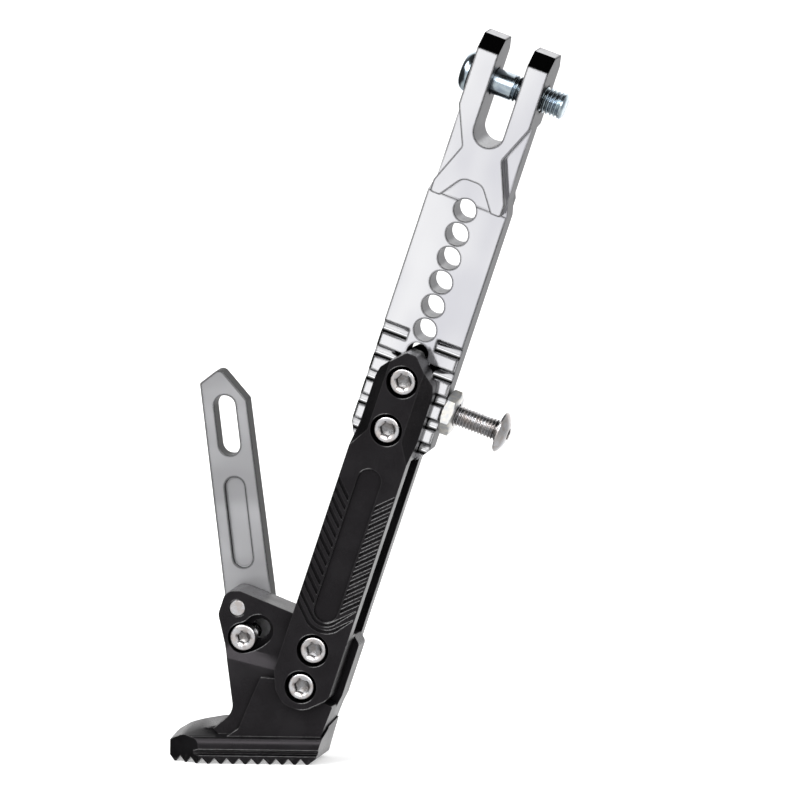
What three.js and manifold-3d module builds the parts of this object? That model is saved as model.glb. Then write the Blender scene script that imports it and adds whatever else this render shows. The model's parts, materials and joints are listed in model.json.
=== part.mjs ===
// Adjustable motorcycle kickstand: clevis arm, two-plate leg, foot with a toe lever. Millimetres, +Z up.
// The origin is the centre of the pivot bolt's free end, on the stand's hinge axis. The sole is level, and
// the leg leans LEAN degrees, its top towards +X. -Y is the outer (front) side.
// "Leg frame" below means the leaned frame about the middle of the fork: x across, z up along the leg.
import * as THREE from "three";
import { ConvexGeometry } from "three/addons/geometries/ConvexGeometry.js";
import { mergeVertices } from "three/addons/utils/BufferGeometryUtils.js";
import Module from "manifold-3d";

// ---- driving dimensions ----
const LEAN = 20.3; // degrees between the leg's axis and the vertical
const ROUND = 48; // sides of a full-size round surface
const FIT = 0.3; // radial or end clearance between two pieces

const ARM = { halfWidth: 15.75, halfDepth: 5, bottom: -144.5, recess: 0.4, shoulder: -46.2 };
const HEAD = { halfWidth: 14.2, halfDepth: 9, top: 17, chamferDepth: 4.7, chamferRise: 5.3 };
const FORK = { halfWidth: 5.8, bottom: -23 };
const HOLES = { first: -49, pitch: 9.6, count: 10, radius: 4.25 };
const GROOVES = { first: -101.2, count: 5, radius: 2.7, offset: 1.1, inner: 5.7, bevel: 1.3 };
const PIVOT = { radius: 5, boreRadius: 5.4, headRadius: 7.8, headHeight: 3.9, end: 22.6 };
const POST = { z: -124.2, radius: 4, inner: 6.2, headAt: 38, headRadius: 7.8, headHeight: 4.1, rim: 0.8 };
const POST_NUT = { acrossFlats: 15, thickness: 4.5, turn: 20 };
const POST_SOCKET = { acrossFlats: 4, depth: 2.4 };

const LEG = { halfWidth: 11.5, front: -16, back: 10.2, gapHalf: 5.2, top: -105, bottom: -247.6 };
const RELIEF = { depth: 3.2, frontWall: -10.2, top: -143.4, bottom: -216 };
const FLANK = { flatHalf: 6.8, edgeDrop: 6.4, end: -137.5, flare: -145.5 };
const PILL = { halfWidth: 4.6, top: -151.3, bottom: -212.6, depth: 0.8 };
// Grooves that climb outwards at 45 degrees; the two lowest run round the end of the long recess.
const HATCH = { first: -158.3, pitch: 3.77, count: 12, height: 1.75, depth: 0.7, inner: 5.3, outer: 11.2 };
const CHEVRONS = [
  { inner: 5.1, outer: 6.2 },
  { inner: 7.6, outer: 8.8 },
];
const ARM_SCREWS = [-116.2, -135.4]; // through the 8th and the 10th hole of the arm
const FOOT_SCREWS = [-224.3, -239];
const CLAMP_SCREWS = [...ARM_SCREWS, ...FOOT_SCREWS];

const M6 = { radius: 3, headRadius: 5, headHeight: 6, socketAcross: 5, socketDepth: 3.2 };
const THIN_NUT = { acrossFlats: 10, thickness: 3.2, pocketAcross: 10.6 };
const COUNTERBORE = { radius: 6.1, floor: -9 };
const NUT_POCKET_FLOOR = 7.5;

// The foot and the lever stand upright, so their outlines are drawn in the level frame, as [x, z] from the
// arm's first hole.
const FOOT = { front: -12.8, back: 5.6, columnFront: -11.4, lugFront: -9.8, webHalf: 4.9 };
const PAD = { front: -15, sole: -207.8, left: -119.1, right: -62.2, toothCount: 12, toothDepth: 2.2 };
const PAD_FALL = 0.13; // how steeply the pad's top falls towards the front
const LEVER = { front: 5.9, back: 12.7, pin: [-90.8, -149.7], screw: [-89.1, -160.9], nutFloor: 9.2 };
const LEVER_HEAD = { headRadius: 5, headHeight: 4.4, socketAcross: 4, socketDepth: 2.6, floor: -5.1 };
const LEVER_TRAVEL = 36; // degrees the lever can be tilted outward along its curved slot
const PIN = { radius: 3, headRadius: 4.6, headHeight: 1.3 };

const wasm = await Module();
wasm.setup();
const { degToRad, radToDeg } = THREE.MathUtils;

// ---- solids ----
const solid = (geometry) => {
  const bare = geometry.clone();
  bare.deleteAttribute("normal");
  bare.deleteAttribute("uv");
  const merged = mergeVertices(bare, 1e-4);
  return new wasm.Manifold(
    new wasm.Mesh({
      numProp: 3,
      vertProperties: new Float32Array(merged.attributes.position.array),
      triVerts: new Uint32Array(merged.index.array),
    }),
  );
};

const geometryOf = (body) => {
  const mesh = body.getMesh();
  const geometry = new THREE.BufferGeometry();
  geometry.setAttribute("position", new THREE.BufferAttribute(mesh.vertProperties, 3));
  geometry.setIndex(new THREE.BufferAttribute(mesh.triVerts, 1));
  const faceted = geometry.toNonIndexed();
  faceted.computeVertexNormals();
  return faceted;
};

// A copy of a solid, turned about Y, turned about Z and moved, in that order.
const placed = (body, { turnY = 0, turnZ = 0, to = [0, 0, 0] }) =>
  solid(geometryOf(body).rotateY(degToRad(turnY)).rotateZ(degToRad(turnZ)).translate(...to));

const union = (...bodies) => bodies.reduce((a, b) => a.add(b));
const cut = (body, ...tools) => tools.reduce((a, b) => a.subtract(b), body);

// An outline of [x, z] or [x, z, radius] corners, as a shape whose given corners are rounded.
const outline = (corners) => {
  const shape = new THREE.Shape();
  corners.forEach(([x, z, radius = 0], i) => {
    const here = new THREE.Vector2(x, z);
    const before = new THREE.Vector2(...corners.at(i - 1).slice(0, 2)).sub(here).normalize();
    const after = new THREE.Vector2(...corners[(i + 1) % corners.length].slice(0, 2)).sub(here).normalize();
    roundCorner(shape, here, before, after, radius, i === 0);
  });
  shape.closePath();
  return shape;
};

// One corner of an outline: a sharp point, or an arc that touches both of its sides.
const roundCorner = (shape, here, before, after, radius, first) => {
  const go = (p) => (first ? shape.moveTo(p.x, p.y) : shape.lineTo(p.x, p.y));
  if (!radius) return go(here);
  const half = Math.acos(THREE.MathUtils.clamp(before.dot(after), -1, 1)) / 2;
  const run = radius / Math.tan(half);
  const enter = here.clone().addScaledVector(before, run);
  const leave = here.clone().addScaledVector(after, run);
  const centre = before.clone().add(after).normalize().multiplyScalar(radius / Math.sin(half)).add(here);
  const angle = (p) => Math.atan2(p.y - centre.y, p.x - centre.x);
  go(enter);
  shape.absarc(centre.x, centre.y, radius, angle(enter), angle(leave), before.cross(after) > 0);
};

// A flat piece: the outline (x, z) between two depths y.
const slab = (shape, front, back, curveSegments = 8) => {
  const options = { depth: back - front, curveSegments, bevelEnabled: false };
  const geometry = new THREE.ExtrudeGeometry(shape, options);
  return solid(geometry.rotateX(Math.PI / 2).translate(0, back, 0));
};

const box = (x0, x1, y0, y1, z0, z1) =>
  solid(
    new THREE.BoxGeometry(x1 - x0, y1 - y0, z1 - z0).translate((x0 + x1) / 2, (y0 + y1) / 2, (z0 + z1) / 2),
  );

// The convex solid over a few points.
const convex = (points) => solid(new ConvexGeometry(points.map((p) => new THREE.Vector3(...p))));

// A rod along Y between two depths.
const rod = (radius, front, back, x, z, sides = ROUND) =>
  solid(new THREE.CylinderGeometry(radius, radius, back - front, sides).translate(x, (front + back) / 2, z));

// A hexagonal bar along Y with two of its corners pointing to +X and -X.
const hexRod = (acrossFlats, front, back, x, z) => {
  const radius = acrossFlats / Math.sqrt(3);
  const geometry = new THREE.CylinderGeometry(radius, radius, back - front, 6).rotateY(Math.PI / 2);
  return solid(geometry.translate(x, (front + back) / 2, z));
};

// A turned piece: the profile [radius, height], bottom to top, about the Y axis.
const turned = (profile, sides = ROUND) =>
  solid(new THREE.LatheGeometry(profile.map(([r, h]) => new THREE.Vector2(r, h)), sides));

// The same solid laid along X instead of Y, its +Y end pointing to +X, at height z.
const alongX = (body, z = 0) => placed(body, { turnZ: -90, to: [0, 0, z] });

// An outline that is a curved slot about a centre, between two angles from straight down.
const curvedSlot = ([cx, cz], middle, halfWidth, from, to) => {
  const at = (degrees) => degToRad(degrees - 90);
  const end = (degrees, turn) => {
    const x = cx + middle * Math.cos(at(degrees));
    const z = cz + middle * Math.sin(at(degrees));
    shape.absarc(x, z, halfWidth, at(degrees) + turn, at(degrees) + turn + Math.PI, false);
  };
  const shape = new THREE.Shape();
  shape.absarc(cx, cz, middle + halfWidth, at(from), at(to), false);
  end(to, 0);
  shape.absarc(cx, cz, middle - halfWidth, at(to), at(from), true);
  end(from, Math.PI);
  return shape;
};

// ---- the arm, in the leg frame ----
const forkSlot = () => {
  const { halfWidth, bottom } = FORK;
  const shape = new THREE.Shape();
  shape.moveTo(halfWidth, HEAD.top + 1);
  shape.lineTo(-halfWidth, HEAD.top + 1);
  shape.absarc(0, bottom + halfWidth, halfWidth, Math.PI, 2 * Math.PI, false);
  shape.closePath();
  return slab(shape, -HEAD.halfDepth - 1, HEAD.halfDepth + 1, 16);
};

// The raised X-shaped boss, with its right half mirrored from the left.
const bossOutline = () => {
  const right = [
    [HEAD.halfWidth, HEAD.top],
    [HEAD.halfWidth, -11, 2],
    [8, -25.6, 2],
    [14.2, -41, 1.5],
    [14.2, -46, 1],
    [10.2, -46, 1],
    [3.8, -37, 4.5],
  ];
  const left = right.map(([x, z, radius]) => [-x, z, radius]).reverse();
  return outline([...left, ...right]);
};

const earChamfer = (side) => {
  const face = side * HEAD.halfDepth;
  const wedge = new THREE.Shape([
    new THREE.Vector2(face + side, HEAD.top + 1),
    new THREE.Vector2(face + side, HEAD.top - HEAD.chamferRise),
    new THREE.Vector2(face, HEAD.top - HEAD.chamferRise),
    new THREE.Vector2(face - side * HEAD.chamferDepth, HEAD.top),
    new THREE.Vector2(face - side * HEAD.chamferDepth, HEAD.top + 1),
  ]);
  const length = 2 * HEAD.halfWidth + 2;
  const geometry = new THREE.ExtrudeGeometry(wedge, { depth: length, bevelEnabled: false });
  geometry.rotateX(Math.PI / 2).rotateZ(Math.PI / 2).translate(-length / 2, 0, 0);
  return solid(geometry);
};

const armPlate = () => {
  const { halfWidth: w, bottom } = ARM;
  const right = [
    [w - 3.2, bottom, 1],
    [w, bottom + 4.8, 2],
    [w, -46, 3],
    [HEAD.halfWidth, -40, 3],
    [HEAD.halfWidth, HEAD.top],
  ];
  const left = right.map(([x, z, radius]) => [-x, z, radius]).reverse();
  return slab(outline([...right, ...left]), -ARM.halfDepth, ARM.halfDepth, 5);
};

// The shallow pocket floor round the boss, on one side of the arm.
const bossPocket = (side) => {
  const face = side * ARM.halfDepth;
  const depths = [face - side * ARM.recess, face + side].sort((a, b) => a - b);
  return box(-20, 20, ...depths, ARM.shoulder, HEAD.top + 1);
};

const grooveRow = (side) => {
  const tools = [];
  for (let i = 0; i < GROOVES.count; i++) {
    const length = ARM.halfWidth + 2 - GROOVES.inner;
    const groove = new THREE.CylinderGeometry(GROOVES.radius, GROOVES.radius, length, 24);
    groove.rotateZ(Math.PI / 2);
    const x = side * (GROOVES.inner + length / 2);
    const z = GROOVES.first - i * HOLES.pitch;
    tools.push(solid(groove.translate(x, -ARM.halfDepth - GROOVES.offset, z)));
  }
  return tools;
};

// The bevel along the front side edge beside the grooves, as a square bar turned on its corner.
const sideBevel = (side) => {
  const size = GROOVES.bevel;
  const bar = new THREE.BoxGeometry(2 * size, 2 * size, 58).rotateZ(Math.PI / 4);
  const out = Math.SQRT2 * size - size;
  return solid(bar.translate(side * (ARM.halfWidth + out), -ARM.halfDepth - out, -127.9));
};

const upperArm = () => {
  const boss = slab(bossOutline(), -HEAD.halfDepth, HEAD.halfDepth, 8);
  let arm = union(cut(armPlate(), bossPocket(1), bossPocket(-1)), boss);
  arm = cut(arm, forkSlot(), earChamfer(1), earChamfer(-1));
  for (let k = 0; k < HOLES.count; k++) {
    arm = cut(arm, rod(HOLES.radius, -6, 6, 0, HOLES.first - k * HOLES.pitch, 36));
  }
  arm = cut(arm, ...grooveRow(1), ...grooveRow(-1), sideBevel(1), sideBevel(-1));
  const boreAlongX = (radius, length) =>
    new THREE.CylinderGeometry(radius, radius, length, ROUND).rotateZ(Math.PI / 2);
  const ears = boreAlongX(PIVOT.boreRadius, 40);
  const tapped = boreAlongX(POST.radius + FIT, 16).translate(POST.inner + 7.6, 0, POST.z);
  return cut(arm, solid(ears), solid(tapped));
};

// ---- bolts, screws and nuts ----
const pivotBolt = () => {
  const { radius: r, headRadius: R, headHeight: h, end } = PIVOT;
  const seat = -HEAD.halfWidth - FIT;
  const profile = [
    [0, seat - h],
    [R - 3.4, seat - h],
    [R - 1.2, seat - h + 1.3],
    [R, seat - 0.9],
    [R, seat],
    [r, seat],
    [r, end - 1],
    [r - 1, end],
    [0, end],
  ];
  return alongX(cut(turned(profile), hexRod(6, seat - h - 1, seat - h + 2.4, 0, 0)));
};

// The spring post: a threaded shank under a head that is a shallow dome.
const springPost = () => {
  const { radius: r, inner, headAt, headRadius: R, headHeight, rim } = POST;
  const end = headAt + headHeight;
  const rise = headHeight - rim;
  const sphere = (R * R + rise * rise) / (2 * rise);
  const fall = Math.asin(R / sphere);
  const profile = [
    [0, inner],
    [r - 0.8, inner],
    [r, inner + 0.8],
    [r, headAt],
    [R, headAt],
  ];
  const steps = 8;
  for (let i = 0; i < steps; i++) {
    const turn = fall * (1 - i / steps);
    profile.push([sphere * Math.sin(turn), end - sphere * (1 - Math.cos(turn))]);
  }
  profile.push([0, end]);
  const { acrossFlats, depth } = POST_SOCKET;
  return alongX(cut(turned(profile), hexRod(acrossFlats, end - depth, end + 1, 0, 0)), POST.z);
};

// A hexagonal nut along Y, its corners turned off at both ends.
const nut = (acrossFlats, front, back, boreRadius) => {
  const corner = acrossFlats / Math.sqrt(3);
  const rim = 0.47 * acrossFlats;
  const drop = (corner - rim) * 0.5;
  const envelope = turned(
    [
      [0, front],
      [rim, front],
      [corner, front + drop],
      [corner, back - drop],
      [rim, back],
      [0, back],
    ],
    24,
  );
  const hexagon = hexRod(acrossFlats, front, back, 0, 0).intersect(envelope);
  return cut(hexagon, rod(boreRadius, front - 1, back + 1, 0, 0, 32));
};

const springPostNut = () => {
  const seat = ARM.halfWidth + FIT;
  const body = nut(POST_NUT.acrossFlats, seat, seat + POST_NUT.thickness, POST.radius + FIT);
  return alongX(placed(body, { turnY: POST_NUT.turn }), POST.z);
};

// A socket head screw along Y, its head's top at the given depth.
const socketScrew = (top, end, x, z, head = M6) => {
  const { headRadius: R, headHeight: h } = head;
  const r = M6.radius;
  const profile = [
    [0, top],
    [R - 0.6, top],
    [R, top + 0.6],
    [R, top + h],
    [r, top + h],
    [r, end - 0.7],
    [r - 0.7, end],
    [0, end],
  ];
  const socket = hexRod(head.socketAcross, top - 1, top + head.socketDepth, 0, 0);
  return placed(cut(turned(profile, 32), socket), { to: [x, 0, z] });
};

const clampScrew = (z) => socketScrew(COUNTERBORE.floor - FIT - M6.headHeight, LEG.back + 0.5, 0, z);

// A thin nut in its hexagonal pocket, whose floor is at the given depth.
const thinNut = (floor, x, z) => {
  const front = floor + FIT;
  const body = nut(THIN_NUT.acrossFlats, front, front + THIN_NUT.thickness, M6.radius + FIT);
  return placed(body, { to: [x, 0, z] });
};

// ---- the leg plates, in the leg frame ----
const legOutline = () => {
  const w = LEG.halfWidth;
  return outline([
    [-2, LEG.top, 1.5],
    [-7.2, -110.5, 4],
    [-10.6, -114.8, 3],
    [-w, -118.8, 3],
    [-w, -236.5, 5],
    [-8.6, -243.5, 5],
    [-4, LEG.bottom, 6],
    [3.5, LEG.bottom, 8],
    [w, -240, 5],
    [w, -118.8, 3],
    [10.6, -114.8, 3],
    [7.2, -110.5, 4],
    [2, LEG.top, 1.5],
  ]);
};

const legHoles = () => CLAMP_SCREWS.map((z) => rod(M6.radius + FIT, -20, 20, 0, z, 32));

// The rebate along both sides of the front plate, behind its outer flange.
const sideRelief = () =>
  [-1, 1].map((side) => {
    const inner = side * (LEG.halfWidth - RELIEF.depth);
    const outer = side * (LEG.halfWidth + 2);
    const corners = [
      [inner, RELIEF.bottom + 2, 1],
      [inner, RELIEF.top - 2.5, 2],
      [outer, RELIEF.top],
      [outer, RELIEF.bottom],
    ];
    return slab(outline(side > 0 ? corners.reverse() : corners), RELIEF.frontWall, 0, 4);
  });

// What is cut off one side of the upper clamp block, to leave a bevelled flank that runs out where the
// long face widens.
const blockFlank = (side) => {
  const { flatHalf, edgeDrop, end, flare } = FLANK;
  const out = LEG.halfWidth + 4.5;
  const share = (out - flatHalf) / (LEG.halfWidth - flatHalf);
  const face = LEG.front;
  const low = face + edgeDrop * share;
  const clear = face - 2;
  const top = LEG.top + 10;
  const foot = end + share * (flare - end);
  const corners = [
    [flatHalf, face, top],
    [out, low, top],
    [out, clear, top],
    [flatHalf, clear, top],
    [flatHalf, face, end],
    [out, low, end],
    [out, face, foot],
    [flatHalf, clear, end],
    [out, clear, foot],
  ];
  return convex(corners.map(([x, y, z]) => [side * x, y, z]));
};

const pillOutline = () => {
  const { halfWidth: r, top, bottom } = PILL;
  const shape = new THREE.Shape();
  shape.absarc(0, top - r, r, 0, Math.PI, false);
  shape.absarc(0, bottom + r, r, Math.PI, 2 * Math.PI, false);
  shape.closePath();
  return shape;
};

// A groove between two radii round the lower end of the long recess, whose flanks climb to both sides.
const chevronGroove = ({ inner, outer }) => {
  const { bottom, halfWidth } = PILL;
  const centre = bottom + halfWidth;
  const edge = HATCH.outer;
  // Where the 45 degree flank that touches a circle of radius r crosses the end of the grooves.
  const flankEnd = (r) => centre - r * Math.SQRT2 + edge;
  const right = -Math.PI / 4;
  const left = -Math.PI - right;
  const shape = new THREE.Shape();
  shape.moveTo(edge, flankEnd(outer));
  shape.absarc(0, centre, outer, right, left, true);
  shape.lineTo(-edge, flankEnd(outer));
  shape.lineTo(-edge, flankEnd(inner));
  shape.absarc(0, centre, inner, left, right, false);
  shape.lineTo(edge, flankEnd(inner));
  shape.closePath();
  return slab(shape, LEG.front - 1, LEG.front + HATCH.depth, 12);
};

const hatchGrooves = () => {
  const { first, pitch, count, height, depth, inner, outer } = HATCH;
  const fall = outer - inner;
  const tools = [];
  for (const side of [-1, 1]) {
    for (let i = 0; i < count; i++) {
      const top = first - i * pitch;
      const corners = [
        [side * outer, top],
        [side * inner, top - fall],
        [side * inner, top - fall - height],
        [side * outer, top - height],
      ];
      const shape = outline(side > 0 ? corners : corners.reverse());
      tools.push(slab(shape, LEG.front - 1, LEG.front + depth));
    }
  }
  return tools;
};

const legFrontPlate = () => {
  let plate = slab(legOutline(), LEG.front, -LEG.gapHalf, 5);
  plate = cut(plate, blockFlank(1), blockFlank(-1), ...sideRelief());
  plate = cut(plate, ...legHoles(), slab(pillOutline(), LEG.front - 1, LEG.front + PILL.depth, 14));
  plate = cut(plate, ...CHEVRONS.map(chevronGroove), ...hatchGrooves());
  const { radius, floor } = COUNTERBORE;
  return cut(plate, ...CLAMP_SCREWS.map((z) => rod(radius, LEG.front - 1, floor, 0, z, 40)));
};

const legRearPlate = () => {
  const { pocketAcross } = THIN_NUT;
  const pockets = CLAMP_SCREWS.map((z) => hexRod(pocketAcross, NUT_POCKET_FLOOR, LEG.back + 1, 0, z));
  return cut(slab(legOutline(), LEG.gapHalf, LEG.back, 5), ...legHoles(), ...pockets);
};

// ---- the foot, in the level frame ----
const LEVEL_ZERO = [HOLES.first * Math.sin(degToRad(LEAN)), 0, HOLES.first * Math.cos(degToRad(LEAN))];
const toLevel = (body) => placed(body, { to: LEVEL_ZERO });
const lean = (body) => placed(body, { turnY: LEAN });

// The lug that carries the lever, and the column under it.
const columnOutline = () =>
  outline([
    [-98.2, -152, 4],
    [-94.9, -143, 4.2],
    [-90, -143.1, 5],
    [-69, -151.6],
    [-65.6, -178],
    [-80.2, -197],
    [-99.2, -197],
    [-101.2, -194.9],
    [-93.1, -188.5, 6],
    [-95.2, -167.1, 20],
  ].reverse());

const blockOutline = () =>
  outline([
    [-81.9, -175.1],
    [-65.6, -176.6],
    [-65.7, -180.6],
    [-54.7, -186.2, 0.8],
    [-61.2, -201.2],
    [-94.3, -201.2],
    [-96.2, -198],
    [-91, -194.5, 3],
    [-87.5, -186.8, 6],
  ].reverse());

// The pad seen from the side: nose at the left, a row of teeth below, a leaning right end.
const padOutline = () => {
  const { left, right, sole, toothDepth, toothCount } = PAD;
  const pitch = (right - left) / toothCount;
  const tipHalf = 0.35;
  const corners = [
    [left, sole + toothDepth],
    [left + 1.1, -185],
    [-54.5, -185],
    [right + 1, sole + toothDepth],
  ];
  for (let i = toothCount - 1; i >= 0; i--) {
    const x = left + i * pitch;
    const tip = x + pitch / 2;
    corners.push([tip + tipHalf, sole], [tip - tipHalf, sole]);
    if (i > 0) corners.push([x, sole + toothDepth]);
  }
  return outline(corners.reverse());
};

// Everything under the pad's curved top, which falls away towards the front.
const underPadTop = () => {
  const shape = outline([
    [-125, -215],
    [-125, -203],
    [-117.6, -197.2, 1.5],
    [-114.1, -195.5, 4],
    [-108.5, -194.1, 20],
    [-100.5, -192.7],
    [-50, -192.7],
    [-50, -215],
  ].reverse());
  const cap = geometryOf(slab(shape, -20, 20, 6));
  const shear = new THREE.Matrix4().makeShear(0, 0, 0, PAD_FALL, 0, 0);
  return solid(cap.translate(0, -FOOT.back, 0).applyMatrix4(shear).translate(0, FOOT.back, 0));
};

// The pad's plan: both left corners cut back to a narrow nose.
const padPlan = () => {
  const { left, right, front } = PAD;
  const plan = new THREE.Shape(
    [
      [left - 1, -7],
      [-106.2, front],
      [right + 10, front],
      [right + 10, FOOT.back],
      [-112.5, FOOT.back],
      [left - 1, 1.5],
    ].map(([x, y]) => new THREE.Vector2(x, y)),
  );
  const geometry = new THREE.ExtrudeGeometry(plan, { depth: 40, bevelEnabled: false });
  return solid(geometry.translate(0, 0, PAD.sole - 10));
};

// A bar along X with the section [y, z], to cut from the pad's front.
const barAlongX = (section, x0, x1) => {
  const shape = new THREE.Shape(section.map(([y, z]) => new THREE.Vector2(y, z)));
  const geometry = new THREE.ExtrudeGeometry(shape, { depth: x1 - x0, bevelEnabled: false });
  return solid(geometry.rotateX(Math.PI / 2).rotateZ(Math.PI / 2).translate(x0, 0, 0));
};

const padBody = () => {
  const { front, sole } = PAD;
  const out = front - 1;
  // The front edge is rounded: a quarter of an ellipse from the block's face out to the pad's front.
  const round = { top: -197.7, height: 3.4, steps: 7 };
  const edge = [];
  for (let i = round.steps; i >= 0; i--) {
    const turn = (Math.PI / 2) * (i / round.steps);
    const y = FOOT.front + (front - FOOT.front) * Math.sin(turn);
    edge.push([y, round.top - round.height * (1 - Math.cos(turn))]);
  }
  const flare = [
    [out, -180],
    [out, round.top - round.height],
    ...edge,
    [FOOT.front + 1.2, -197.2],
    [FOOT.front + 5, -195.4],
    [FOOT.front + 5, -180],
  ];
  const undercut = [
    [out, -201.9],
    [out, sole + 3.2],
    [front, sole + 3.2],
    [front + 1.3, sole + 3.7],
    [front + 1.3, -203],
  ];
  const pad = slab(padOutline(), front, FOOT.back, 5).intersect(padPlan()).intersect(underPadTop());
  return cut(pad, barAlongX(flare, -130, -45), barAlongX(undercut, -109, -45));
};

// The rounded end of the leg, grown a little, through which the plates drop into the foot.
const platePocket = (front, back) => {
  const w = LEG.halfWidth + FIT;
  const low = LEG.bottom - FIT;
  const shape = outline([
    [w, -200],
    [-w, -200],
    [-w, -236.8, 5],
    [-8.8, -243.8, 5],
    [-4.1, low, 6],
    [3.6, low, 8],
    [w, -240.2, 5],
  ]);
  return slab(shape, front, back, 6);
};

// The middle web that stands between the two plates and shows as a low wing at their right.
const footWeb = () => {
  const shape = outline([
    [-11.3, -212],
    [-11.3, -246],
    [12.5, -249],
    [14, -239],
    [14, -218.5, 2.2],
    [11.2, -215.9, 1],
    [8.6, -215.2],
    [8.6, -212],
  ]);
  return slab(shape, -FOOT.webHalf, FOOT.webHalf, 6);
};

// The face of the lug lies back from the column, with a sloping ramp between them.
const lugRecess = () => {
  const rampRise = 5;
  const left = { x: -104, z: -166.3 + rampRise };
  const right = { x: -60, z: -176.6 + rampRise };
  const front = FOOT.columnFront;
  const face = outline([
    [left.x, -130],
    [left.x, left.z],
    [right.x, right.z],
    [right.x, -130],
  ]);
  const corners = [left, right].flatMap(({ x, z }) => [
    [x, FOOT.lugFront, z],
    [x, FOOT.lugFront, z + 3],
    [x, front - 3, z + 3],
    [x, front - 3, z - rampRise],
    [x, front - 0.01, z - rampRise],
  ]);
  return union(slab(face, front - 3, FOOT.lugFront, 4), convex(corners));
};

// The screw's curved slot through the lug, with a wider seat for its head, and the pin's bore.
const leverTools = () => {
  const [px, pz] = LEVER.pin;
  const [sx, sz] = LEVER.screw;
  const reach = Math.hypot(sx - px, sz - pz);
  const start = radToDeg(Math.atan2(sx - px, pz - sz));
  const slot = (halfWidth) => curvedSlot(LEVER.pin, reach, halfWidth, start, start + LEVER_TRAVEL);
  return [
    slab(slot(M6.radius + 0.35), -20, 20, 10),
    slab(slot(LEVER_HEAD.headRadius + 0.7), -20, LEVER_HEAD.floor, 10),
    rod(PIN.radius + 0.15, -20, 20, px, pz),
  ];
};

const foot = () => {
  const column = slab(columnOutline(), FOOT.columnFront, FOOT.back, 6);
  const lug = cut(column, lugRecess(), ...leverTools());
  const block = slab(blockOutline(), FOOT.front, FOOT.back, 6);
  const body = toLevel(union(lug, block, padBody()));
  const pockets = [platePocket(-20, -FOOT.webHalf), platePocket(FOOT.webHalf, 20)].map(lean);
  const holes = FOOT_SCREWS.map((z) => lean(rod(M6.radius + FIT, -20, 20, 0, z, 32)));
  return cut(union(cut(body, ...pockets), lean(footWeb())), ...holes);
};

// ---- the toe lever, in the level frame ----
const leverOutline = () =>
  outline([
    [-106.5, -67.6, 1],
    [-98.7, -61.8, 2.5],
    [-88.8, -73.7, 1],
    [-81.8, -145],
    [-81, -157.5, 5],
    [-82.8, -168, 6],
    [-93.8, -168, 6],
    [-98.6, -155, 4],
    [-99.5, -146.6],
  ].reverse());

// A slot outline between two end centres.
const slotOutline = ([x0, z0], [x1, z1], radius) => {
  const turn = Math.atan2(z1 - z0, x1 - x0);
  const quarter = Math.PI / 2;
  const shape = new THREE.Shape();
  shape.absarc(x0, z0, radius, turn + quarter, turn + 3 * quarter, false);
  shape.absarc(x1, z1, radius, turn - quarter, turn + quarter, false);
  shape.closePath();
  return shape;
};

const toeLever = () => {
  const { front, back, pin, screw, nutFloor } = LEVER;
  const window = slotOutline([-97.2, -76.2], [-95.9, -90.6], 4.1);
  const pocket = slotOutline([-94.4, -106.8], [-92.1, -133.2], 3.8);
  return cut(
    slab(leverOutline(), front, back, 6),
    slab(window, front - 1, back + 1, 12),
    slab(pocket, front - 1, front + 1.4, 12),
    rod(PIN.radius + 0.15, front - 1, back + 1, ...pin),
    rod(M6.radius + 0.15, front - 1, back + 1, ...screw),
    hexRod(THIN_NUT.pocketAcross, nutFloor, back + 1, ...screw),
  );
};

const leverScrew = () => {
  const top = LEVER_HEAD.floor - FIT - LEVER_HEAD.headHeight;
  return socketScrew(top, LEVER.back + 0.4, ...LEVER.screw, LEVER_HEAD);
};

const leverPin = () => {
  const { radius: r, headRadius: R, headHeight: h } = PIN;
  const front = FOOT.lugFront + 0.1;
  const seat = LEVER.back + FIT;
  const profile = [
    [0, front],
    [r - 0.2, front],
    [r, front + 0.2],
    [r, seat],
    [R, seat],
    [R, seat + h - 0.5],
    [R - 0.5, seat + h],
    [0, seat + h],
  ];
  return placed(turned(profile, 40), { to: [LEVER.pin[0], 0, LEVER.pin[1]] });
};

// ---- materials and nodes ----
const LOOKS = {
  polished: [0xe9e9f0, 0.22, 1],
  anodised: [0x2a282b, 0.42, 0.75],
  footBlack: [0x2c2b2e, 0.45, 0.7],
  satin: [0xa9a9ae, 0.45, 0.9],
  stainless: [0xc9c9cc, 0.25, 1],
  blueZinc: [0x9fb2c2, 0.28, 1],
  zinc: [0xc8c7c2, 0.35, 1],
};

const node = (name, body, look) => {
  const [color, roughness, metalness] = LOOKS[look];
  const material = new THREE.MeshStandardMaterial({ color, roughness, metalness });
  const mesh = new THREE.Mesh(geometryOf(body), material);
  mesh.name = name;
  return mesh;
};

const leaned = new THREE.Group();
leaned.rotation.y = degToRad(LEAN);
leaned.add(
  node("pivot_bolt", pivotBolt(), "blueZinc"),
  node("upper_arm", upperArm(), "polished"),
  node("spring_post_screw", springPost(), "stainless"),
  node("spring_post_nut", springPostNut(), "zinc"),
  node("leg_front_plate", legFrontPlate(), "anodised"),
  node("leg_rear_plate", legRearPlate(), "anodised"),
);
const places = ["arm_NAME_upper", "arm_NAME_lower", "foot_NAME_upper", "foot_NAME_lower"];
CLAMP_SCREWS.forEach((z, i) => {
  leaned.add(node(places[i].replace("NAME", "screw"), clampScrew(z), "stainless"));
  leaned.add(node(places[i].replace("NAME", "nut"), thinNut(NUT_POCKET_FLOOR, 0, z), "zinc"));
});

const level = new THREE.Group();
level.position.set(...LEVEL_ZERO);
level.add(
  node("toe_lever", toeLever(), "satin"),
  node("lever_pin", leverPin(), "stainless"),
  node("lever_screw", leverScrew(), "stainless"),
  node("lever_nut", thinNut(LEVER.nutFloor, ...LEVER.screw), "zinc"),
);

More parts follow.
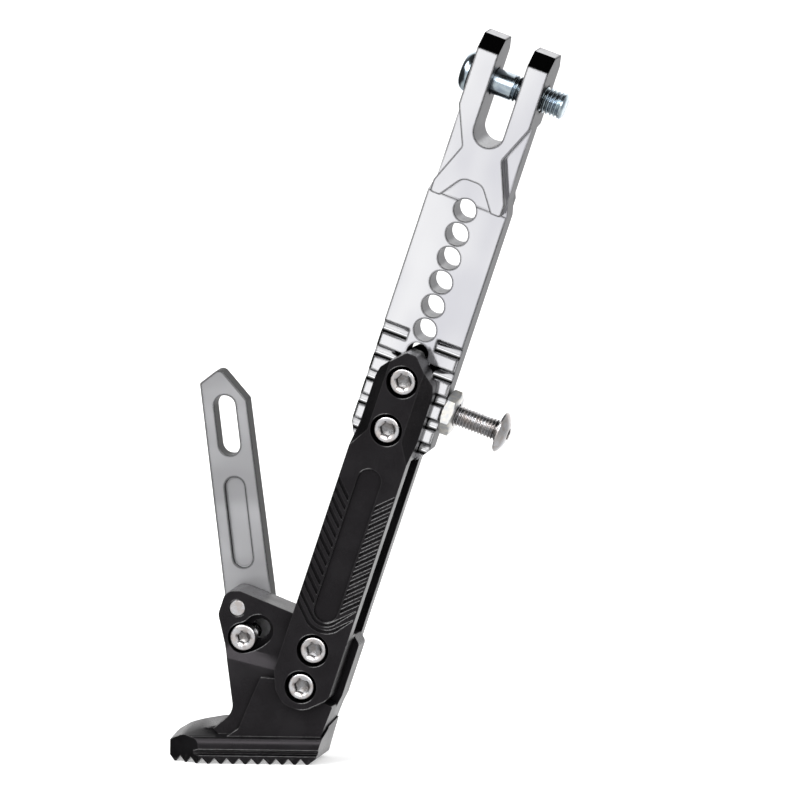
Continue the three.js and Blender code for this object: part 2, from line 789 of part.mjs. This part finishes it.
const assembly = new THREE.Group();
assembly.position.set(-PIVOT.end * Math.cos(degToRad(LEAN)), 0, PIVOT.end * Math.sin(degToRad(LEAN)));
assembly.add(leaned, level, node("foot", foot(), "footBlack"));
const stand = new THREE.Group();
stand.add(assembly);

export default stand;
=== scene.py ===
"""Looks of the adjustable kickstand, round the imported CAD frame: finishes, turned fasteners, light, camera.

Lengths are metres. The "leg frame" is turned LEAN about Y: its X runs across the leg and its Z up along it.
"""

import json
import math

import bpy
from mathutils import Matrix, Vector

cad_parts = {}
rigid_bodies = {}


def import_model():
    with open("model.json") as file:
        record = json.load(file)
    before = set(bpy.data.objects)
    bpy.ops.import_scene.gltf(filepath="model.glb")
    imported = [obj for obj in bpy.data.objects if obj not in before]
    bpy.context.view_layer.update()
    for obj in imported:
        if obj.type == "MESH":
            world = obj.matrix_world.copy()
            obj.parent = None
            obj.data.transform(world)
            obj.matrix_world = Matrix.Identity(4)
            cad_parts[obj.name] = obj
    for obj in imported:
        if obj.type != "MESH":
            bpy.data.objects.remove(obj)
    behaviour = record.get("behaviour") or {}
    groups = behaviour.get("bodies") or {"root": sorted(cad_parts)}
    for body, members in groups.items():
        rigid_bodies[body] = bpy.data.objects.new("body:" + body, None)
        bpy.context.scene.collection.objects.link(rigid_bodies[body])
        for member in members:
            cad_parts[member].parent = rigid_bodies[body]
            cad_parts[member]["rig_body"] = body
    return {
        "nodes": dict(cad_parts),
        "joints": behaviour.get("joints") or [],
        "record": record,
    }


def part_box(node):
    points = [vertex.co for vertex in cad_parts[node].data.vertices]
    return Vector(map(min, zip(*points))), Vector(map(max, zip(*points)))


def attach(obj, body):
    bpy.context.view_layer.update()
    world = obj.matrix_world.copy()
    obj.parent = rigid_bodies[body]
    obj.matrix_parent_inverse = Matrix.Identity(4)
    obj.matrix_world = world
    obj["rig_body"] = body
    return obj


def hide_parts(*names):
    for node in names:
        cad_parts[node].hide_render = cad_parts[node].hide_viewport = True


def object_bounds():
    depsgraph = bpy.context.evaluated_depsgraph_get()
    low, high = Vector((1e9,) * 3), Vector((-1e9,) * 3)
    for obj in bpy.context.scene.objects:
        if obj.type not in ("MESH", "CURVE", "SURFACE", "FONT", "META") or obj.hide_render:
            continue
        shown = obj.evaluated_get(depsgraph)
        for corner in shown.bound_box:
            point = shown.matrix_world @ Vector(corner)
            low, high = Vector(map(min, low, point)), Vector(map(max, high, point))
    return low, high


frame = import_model()
CAD_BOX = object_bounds()
NODES = frame["nodes"]
MM = 0.001

# ---- directions and places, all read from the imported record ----
JOINTS = {joint["name"]: joint for joint in frame["joints"]}
MOUNTS = {mount["name"]: mount for mount in frame["record"]["mounts"]}
ACROSS = -Vector(JOINTS["stand_swing"]["axis"]).normalized()
ALONG = Vector(JOINTS["length_adjust"]["axis"]).normalized()
BACK = Vector((0, 1, 0))
FLOOR_Z = CAD_BOX[0].z


# ---- node graphs ----
class Graph:
    """A node tree with short calls that add a node and wire it up."""

    def __init__(self, tree):
        self.tree = tree
        tree.nodes.clear()

    def add(self, kind, _out=0, _props=None, **inputs):
        """Adds a node. An input is named by its label or, as _0, _1, by its number."""
        node = self.tree.nodes.new("ShaderNode" + kind)
        for key, value in (_props or {}).items():
            setattr(node, key, value)
        for key, value in inputs.items():
            socket = node.inputs[int(key[1:]) if key[1:].isdigit() else key.replace("_", " ")]
            if isinstance(value, bpy.types.NodeSocket):
                self.tree.links.new(value, socket)
            else:
                socket.default_value = value
        return node.outputs[_out]

    def math(self, operation, a, b=0.0):
        return self.add("Math", _props={"operation": operation}, _0=a, _1=b)

    def dot(self, a, b):
        return self.add("VectorMath", _out="Value", _props={"operation": "DOT_PRODUCT"}, _0=a, _1=b)

    def vector(self, operation, a, b=(0, 0, 0)):
        return self.add("VectorMath", _props={"operation": operation}, _0=a, _1=b)

    def ramp(self, value, low, high, to_low=0.0, to_high=1.0):
        """Maps low..high smoothly onto to_low..to_high."""
        kind = {"interpolation_type": "SMOOTHSTEP"}
        return self.add("MapRange", _props=kind, _0=value, _1=low, _2=high, _3=to_low, _4=to_high)

    def mix(self, factor, a, b):
        """The colour a where the factor is 0, and b where it is 1."""
        return self.add("Mix", _out=2, _props={"data_type": "RGBA"}, _0=factor, _6=a, _7=b)

    def noise(self, vector, size, detail=3.0, stretch=None):
        """Noise whose grains are about the given size, longer along the stretched axes."""
        if stretch:
            vector = self.vector("MULTIPLY", vector, stretch)
        return self.add("TexNoise", Vector=vector, Scale=1 / size, Detail=detail)

    def output(self, shader, kind="Material"):
        target = self.tree.nodes.new("ShaderNodeOutput" + kind)
        self.tree.links.new(shader, target.inputs["Surface"])


def grey(value, tint=(1, 1, 1)):
    return tuple(value * t for t in tint) + (1,)


CREVICE = 6 * MM  # how near other faces have to be to close a spot in
EDGE_TURN = (0.998, 0.991)  # cosines between a face and its neighbourhood, where an edge starts and is full
OUTER_EDGE = (0.6, 0.9)  # openness of inner corners, which aren't marked, and of outer edges, which are


class Surface(Graph):
    """A Principled material with the masks that every finish here is built from.

    facing is the true normal in the piece's frame and rounded is the normal with edges of edge_radius.
    edges is 1 within about the outline width of an outer edge, and edge_side tells which way that edge lies.
    openness is 1 on open faces and falls to 0 in crevices.
    """

    def __init__(self, name, edge_radius, outline):
        self.material = bpy.data.materials.new(name)
        self.material.use_nodes = True
        super().__init__(self.material.node_tree)
        self.place = self.add("TexCoord", _out="Object")
        self.facing = self.add("TexCoord", _out="Normal")
        self.rounded = self.add("Bevel", _props={"samples": 4}, Radius=edge_radius)
        true_normal = self.add("NewGeometry", _out="Normal")
        near_edge = self.add("Bevel", _props={"samples": 6}, Radius=outline)
        self.edge_side = self.in_piece(self.vector("SUBTRACT", near_edge, true_normal))
        self.openness = self.add("AmbientOcclusion", _out="AO", _props={"samples": 4}, Distance=CREVICE)
        edges = self.ramp(self.dot(near_edge, true_normal), *EDGE_TURN)
        self.edges = self.math("MULTIPLY", edges, self.ramp(self.openness, *OUTER_EDGE))

    def in_piece(self, direction):
        """A world direction as seen from the piece, so that it keeps its place when the piece moves."""
        turn = {"vector_type": "NORMAL", "convert_from": "WORLD", "convert_to": "OBJECT"}
        return self.vector("NORMALIZE", self.add("VectorTransform", _props=turn, Vector=direction))

    def along(self, direction):
        """1 where the face looks along the direction or against it, 0 where it is square to it."""
        return self.math("ABSOLUTE", self.dot(self.facing, tuple(direction)))

    def in_leg_frame(self):
        """Places in the leg frame, for grain that runs along the leg."""
        parts = [self.dot(self.place, tuple(d)) for d in (ACROSS, BACK, ALONG)]
        return self.add("CombineXYZ", _0=parts[0], _1=parts[1], _2=parts[2])

    def relief(self, height, depth):
        """The rounded normal with bumps of the given depth."""
        return self.add("Bump", Height=height, Distance=depth, Strength=1.0, Normal=self.rounded)

    def finish(self, color, roughness, normal, **inputs):
        common = {"Base_Color": color, "Roughness": roughness, "Normal": normal}
        self.output(self.add("BsdfPrincipled", **common, **inputs))
        return self.material


# ---- finishes ----
LILAC = (0.97, 0.97, 1.0)
BLUE = (0.80, 0.93, 1.0)
STRAW = (1.0, 0.97, 0.90)
GLINT_SIDE = tuple(Vector((-0.3, 0, 0.95)).normalized())  # edges facing this way, or away, get a painted pale glint


def polished_alloy():
    """Polished front and back, duller milled sides, with hairlines along the arm and slow cloudiness.

    Part of what the camera would see mirrored is painted into the base colour. The bevels that climb are near
    black, the sides, the ends and the back are greyer than the front, and outer edges have a dark line. The
    metal is one bare aluminium, so other light or another angle shows these where a real arm wouldn't.
    """
    s = Surface("arm_alloy", edge_radius=0.3 * MM, outline=1.15 * MM)
    place = s.in_leg_frame()
    hairlines = s.noise(place, 0.18 * MM, 4, stretch=(1, 1, 0.03))
    mill_marks = s.noise(place, 0.5 * MM, 2, stretch=(0.15, 1, 1))
    cloud = s.noise(place, 28 * MM, 2, stretch=(1, 1, 0.5))
    # Which way a spot faces: the polished front or back, an open end of the arm, or else a milled side
    front = s.ramp(s.along(BACK), 0.4, 0.7)
    top = s.math("MULTIPLY", s.ramp(s.along(ALONG), 0.75, 0.97), s.ramp(s.openness, 0.75, 0.98))
    # Painted reflections: sides and ends are painted grey in the base colour and the specular tint, as the
    # camera sees them at a grazing angle
    side = s.mix(top, grey(0.34, LILAC), grey(0.55, LILAC))
    painted_grazing_tint = s.mix(front, s.mix(top, grey(0.43), grey(0.81)), grey(1.0))
    side = s.mix(s.ramp(mill_marks, 0.35, 0.65), side, s.mix(0.35, side, grey(0.12)))
    # The polish, painted near black on bevels that climb and grey on the back
    bright = s.mix(s.ramp(cloud, 0.3, 0.7), grey(0.95, (0.98, 0.98, 1.0)), grey(0.78, (0.94, 0.94, 1.0)))
    bright = s.mix(s.ramp(hairlines, 0.62, 0.8, 0, 0.25), bright, grey(0.6))
    climbing = s.dot(s.in_piece(s.rounded), tuple(ALONG))
    bright = s.mix(s.ramp(climbing, 0.05, 0.4), bright, grey(0.05))
    bright = s.mix(s.ramp(s.dot(s.facing, tuple(BACK)), 0.5, 0.9), bright, grey(0.48, LILAC))
    # Painted shade: sides in crevices are painted near black
    color = s.mix(front, s.mix(s.ramp(s.openness, 0.1, 0.8), grey(0.05), side), bright)
    # Painted reflection: a dark line along outer edges
    color = s.mix(s.math("MULTIPLY", s.edges, 0.95), color, grey(0.015))
    milled = s.ramp(s.along(BACK), 0.5, 0.7, 0.3, 0.09)
    roughness = s.math("ADD", milled, s.ramp(hairlines, 0.3, 0.8, 0, 0.08))
    height = s.math("ADD", s.math("MULTIPLY", hairlines, 0.4), s.math("MULTIPLY", mill_marks, 0.6))
    depth = s.ramp(front, 0, 1, 0.02 * MM, 0.002 * MM)
    return s.finish(color, roughness, s.relief(height, depth), Metallic=1.0, Specular_Tint=painted_grazing_tint)


def black_anodised(name, base, roughness, grain, worn_below=None):
    """Fine blasted black anodising, with the pale edges that glint at the camera painted in, and scuffed
    below the given height."""
    s = Surface(name, edge_radius=0.35 * MM, outline=0.5 * MM)
    blasted = s.noise(s.place, 0.16 * MM, 3)
    patches = s.noise(s.place, 9 * MM, 3)
    glint_breakup = s.noise(s.place, 0.7 * MM, 4)
    black = s.mix(s.ramp(patches, 0.3, 0.7), grey(base, (1, 0.96, 1.05)), grey(base * 2, (1, 0.97, 1.04)))
    # Painted highlight: outer edges facing one tilted way, or away from it, are painted pale in patches
    across = s.math("ABSOLUTE", s.dot(s.edge_side, GLINT_SIDE))
    glinting_side = s.ramp(across, 0.8, 0.95, 0.06, 1.0)
    patchy_glint = s.math("MULTIPLY", glinting_side, s.ramp(glint_breakup, 0.35, 0.6, 0.4, 0.9))
    painted_edge_glint = s.math("MULTIPLY", s.edges, patchy_glint)
    color = s.mix(painted_edge_glint, black, grey(0.35))
    if worn_below is not None:
        height = s.add("SeparateXYZ", _out=2, _0=s.place)
        low = s.ramp(height, worn_below, FLOOR_Z)
        scuffs = s.noise(s.place, 1.3 * MM, 5, stretch=(1, 0.25, 1))
        color = s.mix(s.math("MULTIPLY", low, s.ramp(scuffs, 0.5, 0.75, 0, 0.7)), color, grey(0.05))
    patchy = s.ramp(patches, 0.3, 0.7, roughness, roughness + 0.07)
    rough = s.math("ADD", patchy, s.ramp(blasted, 0.4, 0.6, 0, 0.06))
    # Painted shade: reflections are turned down in crevices
    level = s.ramp(s.openness, 0.35, 1.0, 0.03, 0.2)
    tint = grey(1.0, (1.0, 0.92, 1.0))
    return s.finish(color, rough, s.relief(blasted, grain), Specular_IOR_Level=level, Specular_Tint=tint)


def satin_alloy():
    """Blasted grey lever with slow tonal waves along its length. Its dark sides and dark edge lines are
    painted reflections.
    """
    s = Surface("lever_anodised", edge_radius=0.3 * MM, outline=1.3 * MM)
    blasted = s.noise(s.place, 0.14 * MM, 3)
    waves = s.noise(s.place, 20 * MM, 2, stretch=(0.35, 0.35, 1))
    front = s.ramp(s.along(BACK), 0.6, 0.95)
    face = s.mix(s.ramp(waves, 0.3, 0.7), grey(0.34, LILAC), grey(0.46, LILAC))
    # Painted reflections: the sides are painted near black and outer edges get a dark line
    color = s.mix(front, grey(0.06), face)
    color = s.mix(s.math("MULTIPLY", s.edges, 0.9), color, grey(0.02))
    rough = s.ramp(blasted, 0.3, 0.7, 0.34, 0.44)
    # Painted reflection: the sides get a dimmer specular tint
    painted_grazing_tint = s.mix(front, grey(0.55), grey(1.0))
    return s.finish(color, rough, s.relief(blasted, 0.008 * MM), Metallic=0.92, Specular_Tint=painted_grazing_tint)


def plated_steel(name, tint, level, roughness, shimmer, metallic=1.0):
    """Plated or bare steel: a mirror-like skin with small cloudy changes, faint tool marks and painted shade
    in crevices.
    """
    s = Surface(name, edge_radius=0.2 * MM, outline=0.4 * MM)
    cloud = s.noise(s.place, 2.5 * MM, 3)
    marks = s.noise(s.place, 0.12 * MM, 3)
    color = s.mix(s.ramp(cloud, 0.35, 0.65), grey(level, tint), grey(level * 0.8, shimmer))
    # Painted shade: crevices and sockets are painted near black
    color = s.mix(s.ramp(s.openness, 0.15, 0.75), grey(0.03), color)
    cloudy = s.ramp(cloud, 0.3, 0.7, roughness, roughness + 0.1)
    rough = s.math("ADD", cloudy, s.ramp(marks, 0.4, 0.7, 0, 0.06))
    return s.finish(color, rough, s.relief(marks, 0.006 * MM), Metallic=metallic)


SOLE_WEAR = FLOOR_Z + 4 * MM  # below this the foot is scuffed
LEG_BLACK = {"base": 0.003, "roughness": 0.22, "grain": 0.008 * MM}
FOOT_BLACK = {"base": 0.0035, "roughness": 0.24, "grain": 0.010 * MM, "worn_below": SOLE_WEAR}
STAINLESS = {"tint": LILAC, "level": 0.62, "roughness": 0.22, "shimmer": (1.0, 0.93, 0.90)}
BLUE_ZINC = {"tint": BLUE, "level": 0.62, "roughness": 0.12, "shimmer": (0.72, 0.86, 1.0)}
ZINC = {"tint": STRAW, "level": 0.66, "roughness": 0.26, "shimmer": (0.95, 0.97, 1.0), "metallic": 0.75}
FINISHES = {
    "arm_alloy": polished_alloy(),
    "leg_anodised": black_anodised("leg_anodised", **LEG_BLACK),
    "foot_anodised": black_anodised("foot_anodised", **FOOT_BLACK),
    "lever_anodised": satin_alloy(),
    "stainless": plated_steel("stainless", **STAINLESS),
    "blue_zinc": plated_steel("blue_zinc", **BLUE_ZINC),
    "zinc": plated_steel("zinc", **ZINC),
}


# ---- smooth shading of the CAD pieces ----
FACET_ANGLE = 28  # degrees; facets of one round surface meet at less than this
WELD = 0.002 * MM


def smoothing_group():
    """A modifier that welds the CAD facets and shades them smooth, save across edges over FACET_ANGLE."""
    group = bpy.data.node_groups.new("smooth_by_angle", "GeometryNodeTree")
    group.interface.new_socket("Geometry", in_out="INPUT", socket_type="NodeSocketGeometry")
    group.interface.new_socket("Geometry", in_out="OUTPUT", socket_type="NodeSocketGeometry")
    new, link = group.nodes.new, group.links.new
    flow = new("NodeGroupInput").outputs[0]
    forget = new("GeometryNodeRemoveAttribute")
    forget.inputs["Name"].default_value = "custom_normal"
    weld = new("GeometryNodeMergeByDistance")
    weld.inputs["Distance"].default_value = WELD
    faces = new("GeometryNodeSetShadeSmooth")
    edges = new("GeometryNodeSetShadeSmooth")
    edges.domain = "EDGE"
    edges.inputs["Shade Smooth"].default_value = False
    sharp = new("FunctionNodeCompare")
    sharp.operation = "GREATER_THAN"
    sharp.inputs["B"].default_value = math.radians(FACET_ANGLE)
    link(new("GeometryNodeInputMeshEdgeAngle").outputs["Unsigned Angle"], sharp.inputs["A"])
    link(sharp.outputs[0], edges.inputs["Selection"])
    for step in (forget, weld, faces, edges):
        link(flow, step.inputs[0])
        flow = step.outputs[0]
    link(flow, new("NodeGroupOutput").inputs[0])
    return group


SLOTS = {part["node"]: part["material_slot"] for part in frame["record"]["subparts"]}
SMOOTHING = smoothing_group()
for name, node in NODES.items():
    node.data.materials.clear()
    node.data.materials.append(FINISHES[SLOTS[name]])
    modifier = node.modifiers.new("smooth_by_angle", "NODES")
    modifier.node_group = SMOOTHING


# ---- threaded fasteners ----
SIDES = 72
SHARP_ANGLE = 40  # degrees over which a turned edge stays sharp
RINGS_PER_TURN = 10
THREAD_DEPTH = 0.55  # of the pitch
THREAD_CREST = 0.12  # share of the pitch that is flat at the thread's outside
THREAD_FLANK = 0.74  # share of the pitch that slopes


def hexagon(across_flats):
    """The radius of a hexagon as a function of the angle."""
    inner = across_flats / 2
    sector = math.pi / 3
    return lambda angle: inner / math.cos((angle + sector / 2) % sector - sector / 2)


def arc(centre, radius, start, end, steps=6):
    """Points (x, radius) on an arc, for a rounded corner of a turned profile."""
    turns = [math.radians(start + (end - start) * i / steps) for i in range(steps + 1)]
    return [(centre[0] + radius * math.cos(t), centre[1] + radius * math.sin(t)) for t in turns]


def thread(start, end, major, pitch):
    """Rings of a thread from start to end along the axis; it fades in and out over one pitch."""
    depth = THREAD_DEPTH * pitch
    steps = max(2, round((end - start) / pitch * RINGS_PER_TURN))

    def radius_at(x):
        fade = min(1.0, (x - start) / pitch, (end - x) / pitch)

        def radius(angle):
            phase = (x / pitch - angle / math.tau) % 1
            slope = abs(2 * phase - 1)
            return major - depth * fade * min(1.0, max(0.0, (slope - THREAD_CREST) / THREAD_FLANK))

        return radius

    places = [start + (end - start) * i / steps for i in range(steps + 1)]
    return [(x, radius_at(x)) for x in places]


def spin(name, rings, origin, axis, upright):
    """A closed body of rings (distance along the axis, radius or radius function), capped at both ends."""
    side = axis.cross(upright).normalized()
    vertices = []
    for x, radius in rings:
        for k in range(SIDES):
            angle = math.tau * k / SIDES
            r = radius(angle) if callable(radius) else radius
            place = origin + axis * x + upright * (r * math.cos(angle))
            vertices.append(place + side * (-r * math.sin(angle)))
    faces = []
    for i in range(len(rings) - 1):
        a, b = i * SIDES, (i + 1) * SIDES
        for k in range(SIDES):
            n = (k + 1) % SIDES
            faces.append((a + k, b + k, b + n, a + n))
    for ring, order in ((0, 1), (len(rings) - 1, -1)):
        centre = len(vertices)
        vertices.append(origin + axis * rings[ring][0])
        base = ring * SIDES
        for k in range(SIDES):
            rim = (base + k, base + (k + 1) % SIDES)
            faces.append((centre,) + rim[::order])
    mesh = bpy.data.meshes.new(name)
    mesh.from_pydata([tuple(v) for v in vertices], [], faces)
    mesh.validate()
    mesh.polygons.foreach_set("use_smooth", [True] * len(mesh.polygons))
    mesh.set_sharp_from_angle(angle=math.radians(SHARP_ANGLE))
    piece = bpy.data.objects.new(name, mesh)
    bpy.context.scene.collection.objects.link(piece)
    return piece


def stand_in(piece, node):
    """Shows the piece instead of the CAD node, on the same body and with the same finish."""
    slot = SLOTS[node]
    piece.data.materials.append(FINISHES[slot])
    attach(piece, NODES[node]["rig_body"])
    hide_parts(node)


def span(node, axis, origin):
    """How far the node reaches along the axis, measured from the origin."""
    reach = [(v.co - origin).dot(axis) for v in NODES[node].data.vertices]
    return min(reach), max(reach)


def socket(start, across_flats, depth):
    """Rings of a hexagonal socket: its floor, its walls and a small lead-in at the mouth."""
    key = hexagon(across_flats)
    mouth = across_flats / math.sqrt(3) + 0.5 * MM
    lead = 0.6 * MM
    floor = [(start + depth + 0.5 * MM, 0.9 * MM), (start + depth, key)]  # dished, with a flat middle
    return floor + [(start + lead, key), (start, mouth)]


def socket_screw(node, head_height, across_flats, socket_depth):
    """An M6 socket head screw along Y with a rounded head, a rolled thread and a chamfered tip."""
    low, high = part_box(node)
    origin = Vector(((low.x + high.x) / 2, low.y, (low.z + high.z) / 2))
    shank, pitch, head_radius, edge = 3 * MM, 1 * MM, 5 * MM, 0.7 * MM
    length = high.y - low.y
    neck = head_height + 2 * MM
    rings = socket(0, across_flats, socket_depth)
    rings += arc((edge, head_radius - edge), edge, 180, 90)
    rings += [(head_height, head_radius), (head_height, shank), (neck, shank)]
    rings += thread(neck, length - 0.5 * MM, shank, pitch)
    rings += [(length, shank - 0.5 * MM)]
    stand_in(spin(node + "_turned", rings, origin, BACK, ALONG), node)


def pivot_bolt():
    """The button head bolt: a smooth shank in the left ear and a thread through the right one."""
    node = "pivot_bolt"
    origin = Vector(MOUNTS["pivot_bolt_end"]["pos_m"])
    start, end = span(node, ACROSS, origin)
    radius, head_radius, head_height, pitch = 5 * MM, 7.8 * MM, 3.9 * MM, 1.5 * MM
    crown = 3.4 * MM
    seat = start + head_height
    thread_start = end - 21 * MM
    rings = socket(start, 6 * MM, 2.4 * MM)
    rings += [(start, 4.4 * MM)]
    rings += arc((start + crown, head_radius - crown), crown, 172, 98, 8)
    rings += [(seat - 0.4 * MM, head_radius), (seat, head_radius - 0.3 * MM), (seat, radius)]
    rings += [(thread_start, radius)]
    rings += thread(thread_start, end - 0.7 * MM, radius, pitch)
    rings += [(end, radius - 0.9 * MM)]
    stand_in(spin("pivot_bolt_turned", rings, origin, ACROSS, ALONG), node)


def spring_post():
    """The domed screw that the return spring hooks on, threaded over its whole shank."""
    node = "spring_post_screw"
    above_axis = 6 * MM  # how far the mount's point lies from the post's axis
    origin = Vector(MOUNTS["spring_post_shoulder"]["pos_m"]) - ALONG * above_axis
    start, end = span(node, ACROSS, origin)
    radius, head_radius, pitch, rim = 4 * MM, 7.8 * MM, 1.25 * MM, 0.8 * MM
    rings = [(start, radius - 0.8 * MM)]
    rings += thread(start + 0.4 * MM, -0.2 * MM, radius, pitch)
    rings += [(0, radius), (0, head_radius - 0.3 * MM), (0.3 * MM, head_radius)]
    drive = socket(0, 4 * MM, 2.4 * MM)
    mouth = drive[-1][1]
    sphere = (head_radius**2 + (end - rim) ** 2) / (2 * (end - rim))
    low, high = math.asin(head_radius / sphere), math.asin(mouth / sphere)
    steps = 10
    for i in range(steps + 1):
        turn = low + (high - low) * i / steps
        rings.append((end - sphere * (1 - math.cos(turn)), sphere * math.sin(turn)))
    rings += [(end - x, r) for x, r in reversed(drive[:-1])]
    stand_in(spin("spring_post_turned", rings, origin, ACROSS, ALONG), node)


pivot_bolt()
spring_post()
for clamp in ("arm_screw_upper", "arm_screw_lower", "foot_screw_upper", "foot_screw_lower"):
    socket_screw(clamp, head_height=6 * MM, across_flats=5 * MM, socket_depth=3.2 * MM)
socket_screw("lever_screw", head_height=4.4 * MM, across_flats=4 * MM, socket_depth=2.6 * MM)


# ---- floor, light and camera ----
FLOOR_REACH = 12.0  # from the origin to each edge of the floor
FLOOR_GLOW = 0.45  # seen by the camera only; it lifts the floor to the backdrop's white


def pale_floor():
    """A matt off-white floor at the sole, which mirrors don't see."""
    outline = [(-1, -1), (1, -1), (1, 1), (-1, 1)]
    places = [(x * FLOOR_REACH, y * FLOOR_REACH, FLOOR_Z) for x, y in outline]
    mesh = bpy.data.meshes.new("floor")
    mesh.from_pydata(places, [], [(0, 1, 2, 3)])
    floor = bpy.data.objects.new("floor", mesh)
    bpy.context.scene.collection.objects.link(floor)
    material = bpy.data.materials.new("floor")
    material.use_nodes = True
    s = Graph(material.node_tree)
    mottle = s.noise(s.add("TexCoord", _out="Object"), 0.4, 2)
    color = s.mix(s.ramp(mottle, 0.3, 0.7), grey(0.90), grey(0.88))
    shader = s.add("BsdfPrincipled", Base_Color=color, Roughness=0.9, Specular_IOR_Level=0.1)
    shader.node.inputs["Emission Color"].default_value = grey(1.0)
    seen = s.ramp(s.add("LightPath", _out="Is Camera Ray"), 0, 1, 0, FLOOR_GLOW)
    s.tree.links.new(seen, shader.node.inputs["Emission Strength"])
    s.output(shader)
    mesh.materials.append(material)
    floor.visible_glossy = False


# What mirrors see in each direction, as greys
BAND_FRONT, BAND_BEHIND, BAND_RIGHT, BAND_LEFT = 1.0, 1.7, 0.5, 0.03
STRIP_LIGHT, CEILING, GROUND = 7.5, 0.02, 0.75
WORLD_STRENGTH = 0.95


def studio():
    """Even white surroundings. Mirrors see a bright band round the horizon that is dark on the left,
    a strip light above the front, a dark ceiling and a pale ground."""
    world = bpy.data.worlds.new("studio")
    bpy.context.scene.world = world
    world.use_nodes = True
    s = Graph(world.node_tree)
    direction = s.add("TexCoord", _out="Generated")
    height = s.dot(direction, (0, 0, 1))
    backward = s.dot(direction, tuple(BACK))
    rightward = s.dot(direction, (1, 0, 0))
    leftward = s.dot(direction, (-1, 0, 0))
    band = s.mix(s.ramp(backward, 0.2, 0.9), grey(BAND_FRONT), grey(BAND_BEHIND))
    band = s.mix(s.ramp(rightward, 0.35, 0.8), band, grey(BAND_RIGHT))
    strip = s.math("MULTIPLY", s.ramp(height, 0.25, 0.4), s.ramp(backward, -0.3, -0.7))
    band = s.mix(strip, band, grey(STRIP_LIGHT))
    band = s.mix(s.ramp(leftward, 0.45, 0.75), band, grey(BAND_LEFT))
    mirrored = s.mix(s.ramp(height, 0.5, 0.84), band, grey(CEILING))
    mirrored = s.mix(s.ramp(height, -0.4, -0.7), mirrored, grey(GROUND))
    is_mirror = s.add("LightPath", _out="Is Glossy Ray")
    color = s.mix(is_mirror, grey(1.0), mirrored)
    s.output(s.add("Background", Color=color, Strength=WORLD_STRENGTH), "World")


def softbox(name, towards, distance, size, power):
    """A square soft light that shines on the middle of the stand from the given direction."""
    data = bpy.data.lights.new(name, "AREA")
    data.size = size
    data.energy = power
    light = bpy.data.objects.new(name, data)
    direction = Vector(towards).normalized()
    light.location = FRAME_CENTRE + direction * distance
    light.rotation_euler = direction.to_track_quat("Z", "Y").to_euler()
    bpy.context.scene.collection.objects.link(light)


FRAME_CENTRE = Vector((-59.3, -28.4, -105.7)) * MM  # the point of the stand in the middle of the picture
VIEW_WIDTH = 296.3 * MM  # how much of the world the picture spans at the stand
AZIMUTH, ELEVATION, ROLL = (math.radians(a) for a in (14.3, 9.06, -1.77))
DISTANCE = 10.0  # from the stand to the camera


def camera():
    """A long lens, so the stand is drawn almost without perspective."""
    level = Vector((math.cos(AZIMUTH), math.sin(AZIMUTH), 0))
    flat = math.cos(ELEVATION)
    towards = Vector((math.sin(AZIMUTH) * flat, -math.cos(AZIMUTH) * flat, math.sin(ELEVATION)))
    right = level * math.cos(ROLL) + towards.cross(level) * math.sin(ROLL)
    up = towards.cross(right)
    data = bpy.data.cameras.new("camera")
    data.lens = data.sensor_width * DISTANCE / VIEW_WIDTH
    lens = bpy.data.objects.new("camera", data)
    turn = Matrix((right, up, towards)).transposed().to_4x4()
    lens.matrix_world = Matrix.Translation(FRAME_CENTRE + towards * DISTANCE) @ turn
    bpy.context.scene.collection.objects.link(lens)
    bpy.context.scene.camera = lens


pale_floor()
studio()
softbox("key", towards=(-0.55, -0.35, 0.75), distance=1.4, size=0.6, power=12)
camera()
bpy.context.scene.view_settings.view_transform = "Standard"
